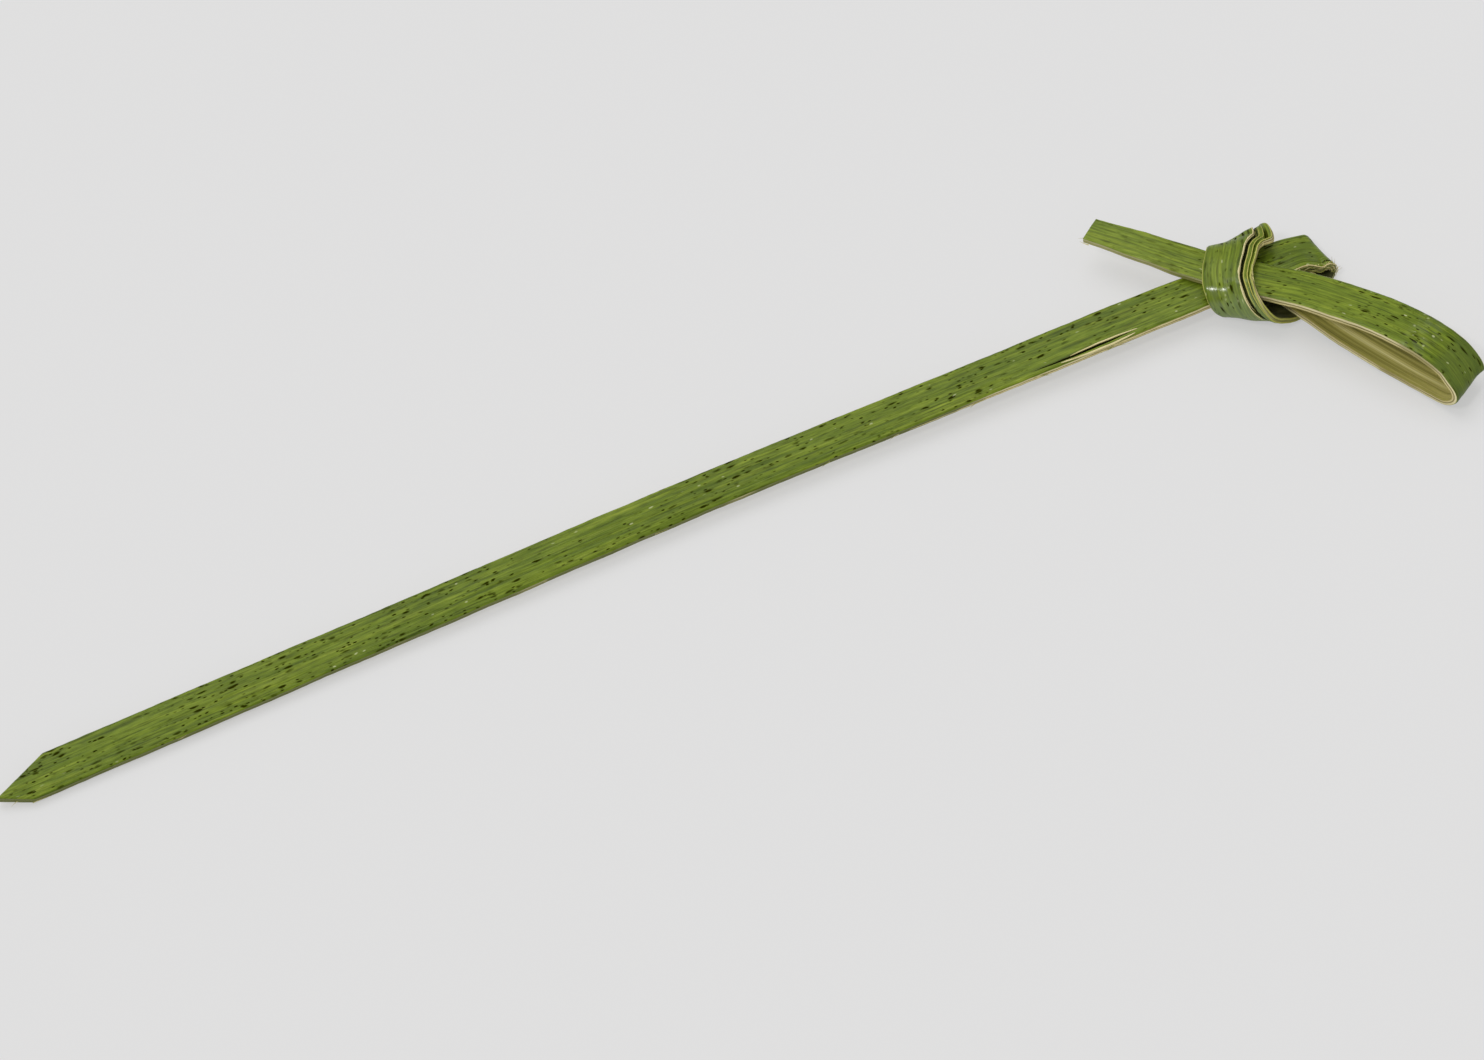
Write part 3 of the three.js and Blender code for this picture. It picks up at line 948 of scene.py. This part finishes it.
def add_fibres(count, start, end, side, depth, lean, length, spread):
    for _ in range(count):
        ring = ring_near(draw.uniform(start, end))
        low, high = ring_limits(ring)
        across = mix(low, high, side) + draw.uniform(-spread, spread)
        height = depth + draw.uniform(-FIBRE_SCATTER, FIBRE_SCATTER)
        point = place_on(ring, across, height)
        direction = ring["along"] * draw.choice((-1, 1)) + ring["across"] * (lean * (2 * side - 1))
        direction = direction + ring["normal"] * draw.uniform(-FIBRE_SCATTER, FIBRE_SCATTER)
        size = length * draw.uniform(0.5, 1.3)
        back = direction.normalized() * (size * 0.35)
        fibre_points.append((to_frame(point - back), turn_matrix @ direction.normalized(), size))


add_fibres(26, FOLD_START + 0.3, FOLD_START + 3.6, 1.0, 0.0, 0.12, 1.1, 0.06)
add_fibres(12, FOLD_START + 3.0, SHAFT_START + 1.4, 1.0, 0.05, 0.1, 1.5, 0.05)
add_fibres(8, COLLAR_FROM + 0.6, NEAR_TURN_START + 1, 1.0, 0.05, 0.06, 1.2, 0.12)
add_fibres(5, 0.0, 0.12, 0.0, 0.0, 0.15, 0.7, 0.3)
add_fibres(7, SLIVER_FROM, SLIVER_TO, 1.0, 0.05, 0.05, 2.2, 0.03)
add_fibres(14, 0.4, FAR_TURN_START - 1, 1.0, -0.1, 0.04, 0.9, 0.0)
add_fibres(10, SHAFT_START + 5, SHAFT_START + 9.9, 1.0, -0.1, 0.03, 1.3, 0.0)
print("fibres:", len(fibre_points))

# %% Fibre tree
FIBRE_THICKNESS = 0.09
FIBRE_TIP_RADIUS = 0.004
FIBRE_BEND = 220.0
FIBRE_SPIN = 6.28


def fibre_tree():
    group = bpy.data.node_groups.new("torn_fibres", "GeometryNodeTree")
    face = group.interface
    face.new_socket("Geometry", in_out="INPUT", socket_type="NodeSocketGeometry")
    thick = face.new_socket("Fibre Thickness", in_out="INPUT", socket_type="NodeSocketFloat")
    bend = face.new_socket("Bend", in_out="INPUT", socket_type="NodeSocketFloat")
    finish = face.new_socket("Finish", in_out="INPUT", socket_type="NodeSocketMaterial")
    face.new_socket("Geometry", in_out="OUTPUT", socket_type="NodeSocketGeometry")
    source = group.nodes.new("NodeGroupInput")
    target = group.nodes.new("NodeGroupOutput")
    half = times(group, source.outputs["Fibre Thickness"], 0.5)
    cone = add(group, "GeometryNodeMeshCone", {
        "Vertices": 6, "Side Segments": 6, "Radius Top": FIBRE_TIP_RADIUS * MM,
        "Radius Bottom": half, "Depth": MM})
    place = group.nodes.new("GeometryNodeInputPosition")
    parts = add(group, "ShaderNodeSeparateXYZ", {0: place.outputs[0]})
    aside = times(group, times(group, parts.outputs[2], parts.outputs[2]), source.outputs["Bend"])
    offset = add(group, "ShaderNodeCombineXYZ", {0: aside})
    bent = add(group, "GeometryNodeSetPosition",
               {"Geometry": cone.outputs["Mesh"], "Offset": offset.outputs[0]})
    points = add(group, "GeometryNodeMeshToPoints", {"Mesh": source.outputs["Geometry"]})
    direction = add(group, "GeometryNodeInputNamedAttribute", {"Name": "fibre_direction"},
                    data_type="FLOAT_VECTOR")
    size = add(group, "GeometryNodeInputNamedAttribute", {"Name": "fibre_size"}, data_type="FLOAT")
    turned = add(group, "FunctionNodeAlignRotationToVector", {"Vector": direction.outputs[0]}, axis="Z")
    spin = add(group, "FunctionNodeRandomValue", {"Seed": 5, 3: FIBRE_SPIN}, data_type="FLOAT")
    local = add(group, "FunctionNodeAxisAngleToRotation", {"Axis": (0, 0, 1), "Angle": spin.outputs[1]})
    both = add(group, "FunctionNodeRotateRotation",
               {"Rotation": turned.outputs[0], "Rotate By": local.outputs[0]}, rotation_space="LOCAL")
    scale = add(group, "ShaderNodeCombineXYZ", {0: 1.0, 1: 1.0, 2: size.outputs[0]})
    placed = add(group, "GeometryNodeInstanceOnPoints", {
        "Points": points.outputs[0], "Instance": bent.outputs[0],
        "Rotation": both.outputs[0], "Scale": scale.outputs[0]})
    real = add(group, "GeometryNodeRealizeInstances", {0: placed.outputs[0]})
    done = add(group, "GeometryNodeSetMaterial",
               {"Geometry": real.outputs[0], "Material": source.outputs["Finish"]})
    group.links.new(done.outputs[0], target.inputs[0])
    return group, thick.identifier, bend.identifier, finish.identifier


def fibre_material():
    material, tree = new_material("pale_fibre")
    place = add(tree, "ShaderNodeTexCoord").outputs["Object"]
    tint = grain_noise(tree, place, (900, 900, 900), 1.0)
    colour = ramp(tree, tint, [
        (0.35, srgb(176, 170, 96)), (0.55, srgb(212, 202, 142)), (0.7, srgb(150, 158, 78))])
    shade(tree, colour, 0.6)
    return material


# %% Make the fibres
def make_fibres():
    places, directions, sizes = zip(*fibre_points)
    holder = holder_of("fibre_cloud", places, [], [
        ("fibre_direction", "FLOAT_VECTOR", "vector", directions),
        ("fibre_size", "FLOAT", "value", sizes)])
    group, thick, bend, finish = fibre_tree()
    material = fibre_material()
    inputs = {thick: FIBRE_THICKNESS * MM, bend: FIBRE_BEND, finish: material}
    return grown_object("torn_fibres", holder, group, inputs, material)


fibres = make_fibres()

# %% [markdown]
# ## Torn layers along the edges
#
# Where the strip is folded or its skin lifts, single layers stand out as thin strands along the
# edge. Each strand is a line that follows the route at its own place in the section. Geometry Nodes
# turn the lines into curves and give them a round section whose radius comes from the points.

# %% Lines of the strands
strand_points = []
strand_edges = []
strand_radius = []
strand_tint = []
STRAND_END = 0.25


def add_strand(start, end, side, depth, radius, tint, bow=0.0, wave=0.03):
    chosen = [ring for ring in rings if start <= ring["at"] <= end]
    phase = draw.uniform(0, 50)
    first = len(strand_points)
    for i, ring in enumerate(chosen):
        swell = math.sin(math.pi * i / max(1, len(chosen) - 1))
        low, high = ring_limits(ring)
        across = side(ring, low, high) + bow * swell + wave * grain(ring["length"] * 0.8, phase)
        height = depth + wave * grain(ring["length"] * 0.7, phase + 9)
        strand_points.append(to_frame(place_on(ring, across, height)))
        strand_radius.append(radius * mix(STRAND_END, 1, math.sqrt(abs(swell))) * MM)
        strand_tint.append(tint)
        if i:
            strand_edges.append((first + i - 1, first + i))


def on_low(shift):
    return lambda ring, low, high: low + shift


def on_high(shift):
    return lambda ring, low, high: high + shift


def on_slit(shift):
    return lambda ring, low, high: high - slit_distance(ring["at"], high - low) + shift


# %% Where the strands run
CREAM, YELLOW_GREEN, OLIVE = 0.0, 0.5, 1.0
for start, end, depth, shift, radius, tint in (
        (FOLD_START + 0.2, SHAFT_START + 1.3, 0.27, 0.03, 0.05, CREAM),
        (FOLD_START + 0.8, SHAFT_START + 1.9, 0.12, 0.06, 0.045, OLIVE),
        (FOLD_START - 0.1, SHAFT_START + 0.6, -0.03, 0.02, 0.06, OLIVE),
        (FOLD_START + 0.6, SHAFT_START + 1.5, -0.17, 0.05, 0.04, OLIVE),
        (FOLD_START + 0.1, SHAFT_START + 0.2, -0.28, 0.04, 0.04, YELLOW_GREEN)):
    add_strand(start, end, on_high(shift), depth, radius, tint, wave=0.07)
add_strand(COLLAR_FROM + 0.3, COLLAR_TO - 0.2, on_slit(-0.17), TOP + 0.05, 0.075, CREAM)
add_strand(COLLAR_FROM + 0.6, COLLAR_TO - 0.4, on_slit(-0.13), TOP - 0.08, 0.05, CREAM)
add_strand(COLLAR_FROM + 0.2, COLLAR_TO - 0.1, on_slit(0.2), TOP - 0.16, 0.06, YELLOW_GREEN)
add_strand(COLLAR_FROM + 0.5, COLLAR_TO, on_slit(0.5), TOP - 0.15, 0.055, YELLOW_GREEN)
add_strand(COLLAR_FROM, COLLAR_TO + 0.3, on_high(-0.04), TOP - 0.2, 0.07, YELLOW_GREEN)
add_strand(NEAR_TURN_START + 2.8, NEAR_TURN_START + 7.2, on_high(0.02), 0.16, 0.075, YELLOW_GREEN)
add_strand(NEAR_TURN_START + 2.5, NEAR_TURN_START + 6.8, on_high(0.02), -0.16, 0.07, YELLOW_GREEN)
add_strand(COLLAR_FROM + 0.9, COLLAR_TO - 0.6, on_low(0.0), TOP - 0.16, 0.055, YELLOW_GREEN)
add_strand(SLIVER_FROM - 0.06, SLIVER_TO - 0.22, on_high(-0.44), TOP + 0.03, 0.07, CREAM, bow=-0.1)
add_strand(SLIVER_FROM - 0.03, SLIVER_TO - 0.16, on_high(-0.14), TOP + 0.04, 0.085, CREAM, bow=0.14)
add_strand(4.5, FAR_TURN_START - 2.0, on_high(0.0), 0.17, 0.05, CREAM)
add_strand(5.0, 11.5, on_high(0.01), -0.06, 0.045, CREAM)
add_strand(5.5, 12.5, on_high(0.0), -0.24, 0.05, YELLOW_GREEN)
add_strand(SHAFT_START + 4.2, SHAFT_START + 5.4, on_high(0.0), 0.08, 0.05, CREAM)
add_strand(SHAFT_START + 4.0, SHAFT_START + 6.3, on_high(0.0), -0.12, 0.05, CREAM)
print("strand points:", len(strand_points))


# %% Strand tree
def strand_tree():
    group = bpy.data.node_groups.new("torn_layers", "GeometryNodeTree")
    face = group.interface
    face.new_socket("Geometry", in_out="INPUT", socket_type="NodeSocketGeometry")
    thick = face.new_socket("Thickness Factor", in_out="INPUT", socket_type="NodeSocketFloat")
    finish = face.new_socket("Finish", in_out="INPUT", socket_type="NodeSocketMaterial")
    face.new_socket("Geometry", in_out="OUTPUT", socket_type="NodeSocketGeometry")
    source = group.nodes.new("NodeGroupInput")
    target = group.nodes.new("NodeGroupOutput")
    curve = add(group, "GeometryNodeMeshToCurve", {"Mesh": source.outputs["Geometry"]})
    radius = add(group, "GeometryNodeInputNamedAttribute", {"Name": "strand_radius"}, data_type="FLOAT")
    scaled = times(group, radius.outputs[0], source.outputs["Thickness Factor"])
    sized = add(group, "GeometryNodeSetCurveRadius", {"Curve": curve.outputs[0], "Radius": scaled})
    ring = add(group, "GeometryNodeCurvePrimitiveCircle", {"Resolution": 7, "Radius": 1.0})
    tube = add(group, "GeometryNodeCurveToMesh", {
        "Curve": sized.outputs[0], "Profile Curve": ring.outputs[0], "Fill Caps": True})
    if "Scale" in tube.inputs:
        group.links.new(scaled, tube.inputs["Scale"])
    real = add(group, "GeometryNodeRealizeInstances", {0: tube.outputs[0]})
    done = add(group, "GeometryNodeSetMaterial",
               {"Geometry": real.outputs[0], "Material": source.outputs["Finish"]})
    group.links.new(done.outputs[0], target.inputs[0])
    return group, thick.identifier, finish.identifier


def strand_material():
    material, tree = new_material("torn_layer")
    tint = add(tree, "ShaderNodeAttribute", attribute_name="strand_tint").outputs["Fac"]
    place = add(tree, "ShaderNodeTexCoord").outputs["Object"]
    patch = grain_noise(tree, place, (420, 420, 420), 2.0)
    colour = ramp(tree, tint, [
        (CREAM, srgb(226, 214, 158)), (YELLOW_GREEN, srgb(178, 178, 84)), (OLIVE, srgb(120, 128, 52))])
    patches = ramp(tree, patch, [(0.35, (0.66, 0.62, 0.46)), (0.55, (1.0, 1.0, 1.0))])
    shade(tree, blend(tree, 0.7, colour, patches, "MULTIPLY"), 0.6)
    return material


# %% Make the strands
def make_strands():
    holder = holder_of("strand_lines", strand_points, strand_edges, [
        ("strand_radius", "FLOAT", "value", strand_radius),
        ("strand_tint", "FLOAT", "value", strand_tint)])
    group, thick, finish = strand_tree()
    material = strand_material()
    obj = grown_object("torn_layers", holder, group, {thick: 1.0, finish: material}, material)
    obj.data.shade_smooth()
    return obj


strands = make_strands()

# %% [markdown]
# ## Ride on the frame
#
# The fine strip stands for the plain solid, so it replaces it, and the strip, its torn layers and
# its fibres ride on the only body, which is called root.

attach(strip, "root")
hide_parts("bamboo_strip")
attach(strands, "root")
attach(fibres, "root")

# %% [markdown]
# ## Floor, light and camera
#
# The photograph has a plain pale floor and soft light from above and to the left. A wide sun and an
# even sky light every place on the floor alike, so that the floor stays one tone and only the
# object's own soft shadow shows.

# %% Floor
FLOOR_SIZE = 3.0
FLOOR_TONE = (0.752, 0.748, 0.748, 1)
GLOW_TONE = (0.75, 0.748, 0.748, 1)
GLOW_SHARE = 0.6
bpy.ops.mesh.primitive_plane_add(size=FLOOR_SIZE, location=(0, 0, 0))
floor = bpy.context.object
floor.name = "studio_floor"
floor_material, floor_tree = new_material("pale_floor")
matt = add(floor_tree, "ShaderNodeBsdfPrincipled",
           {"Base Color": FLOOR_TONE, "Roughness": 0.9, "Specular IOR Level": 0.0})
glow = add(floor_tree, "ShaderNodeEmission", {"Color": GLOW_TONE, "Strength": 1.0})
ray = add(floor_tree, "ShaderNodeLightPath")
seen = math_node(floor_tree, "MAXIMUM", ray.outputs["Is Camera Ray"], ray.outputs["Is Glossy Ray"])
floor_mix = add(floor_tree, "ShaderNodeMixShader",
                {0: times(floor_tree, seen, GLOW_SHARE), 1: matt.outputs[0], 2: glow.outputs[0]})
add(floor_tree, "ShaderNodeOutputMaterial", {"Surface": floor_mix.outputs[0]})
floor.data.materials.append(floor_material)

# %% Lights
SKY_STRENGTH = 0.54
world = bpy.data.worlds.new("soft_sky")
bpy.context.scene.world = world
world.use_nodes = True
sky = world.node_tree.nodes["Background"]
sky.inputs["Color"].default_value = (1.0, 1.0, 1.0, 1)
sky.inputs["Strength"].default_value = SKY_STRENGTH


def sun(name, strength, angle, toward):
    data = bpy.data.lights.new(name, "SUN")
    data.energy = strength
    data.angle = math.radians(angle)
    lamp = bpy.data.objects.new(name, data)
    direction = turn_matrix @ Vector(toward)
    lamp.rotation_euler = (-direction).to_track_quat("-Z", "Y").to_euler()
    bpy.context.scene.collection.objects.link(lamp)


sun("key_sun", 0.98, 50, (-0.3, 0.4, 1.0))
sun("glint_sun", 0.6, 8, (-0.35, -0.45, 0.82))

# %% Camera
ELEVATION = math.radians(50)
FRAME_WIDTH = 114.15 * MM
DISTANCE = 3.0
PICTURE_MIDDLE = Vector((-37.54, -24.1, 0))
target = to_frame(PICTURE_MIDDLE)
backward = turn_matrix @ Vector((0, -math.cos(ELEVATION), math.sin(ELEVATION)))
camera_data = bpy.data.cameras.new("photo_camera")
camera_data.sensor_width = 36
camera_data.lens = camera_data.sensor_width * DISTANCE / FRAME_WIDTH
camera = bpy.data.objects.new("photo_camera", camera_data)
camera.location = target + backward * DISTANCE
camera.rotation_euler = (-backward).to_track_quat("-Z", "Y").to_euler()
bpy.context.scene.collection.objects.link(camera)
bpy.context.scene.camera = camera
bpy.context.scene.view_settings.view_transform = "Standard"
print("camera lens in mm:", round(camera_data.lens))
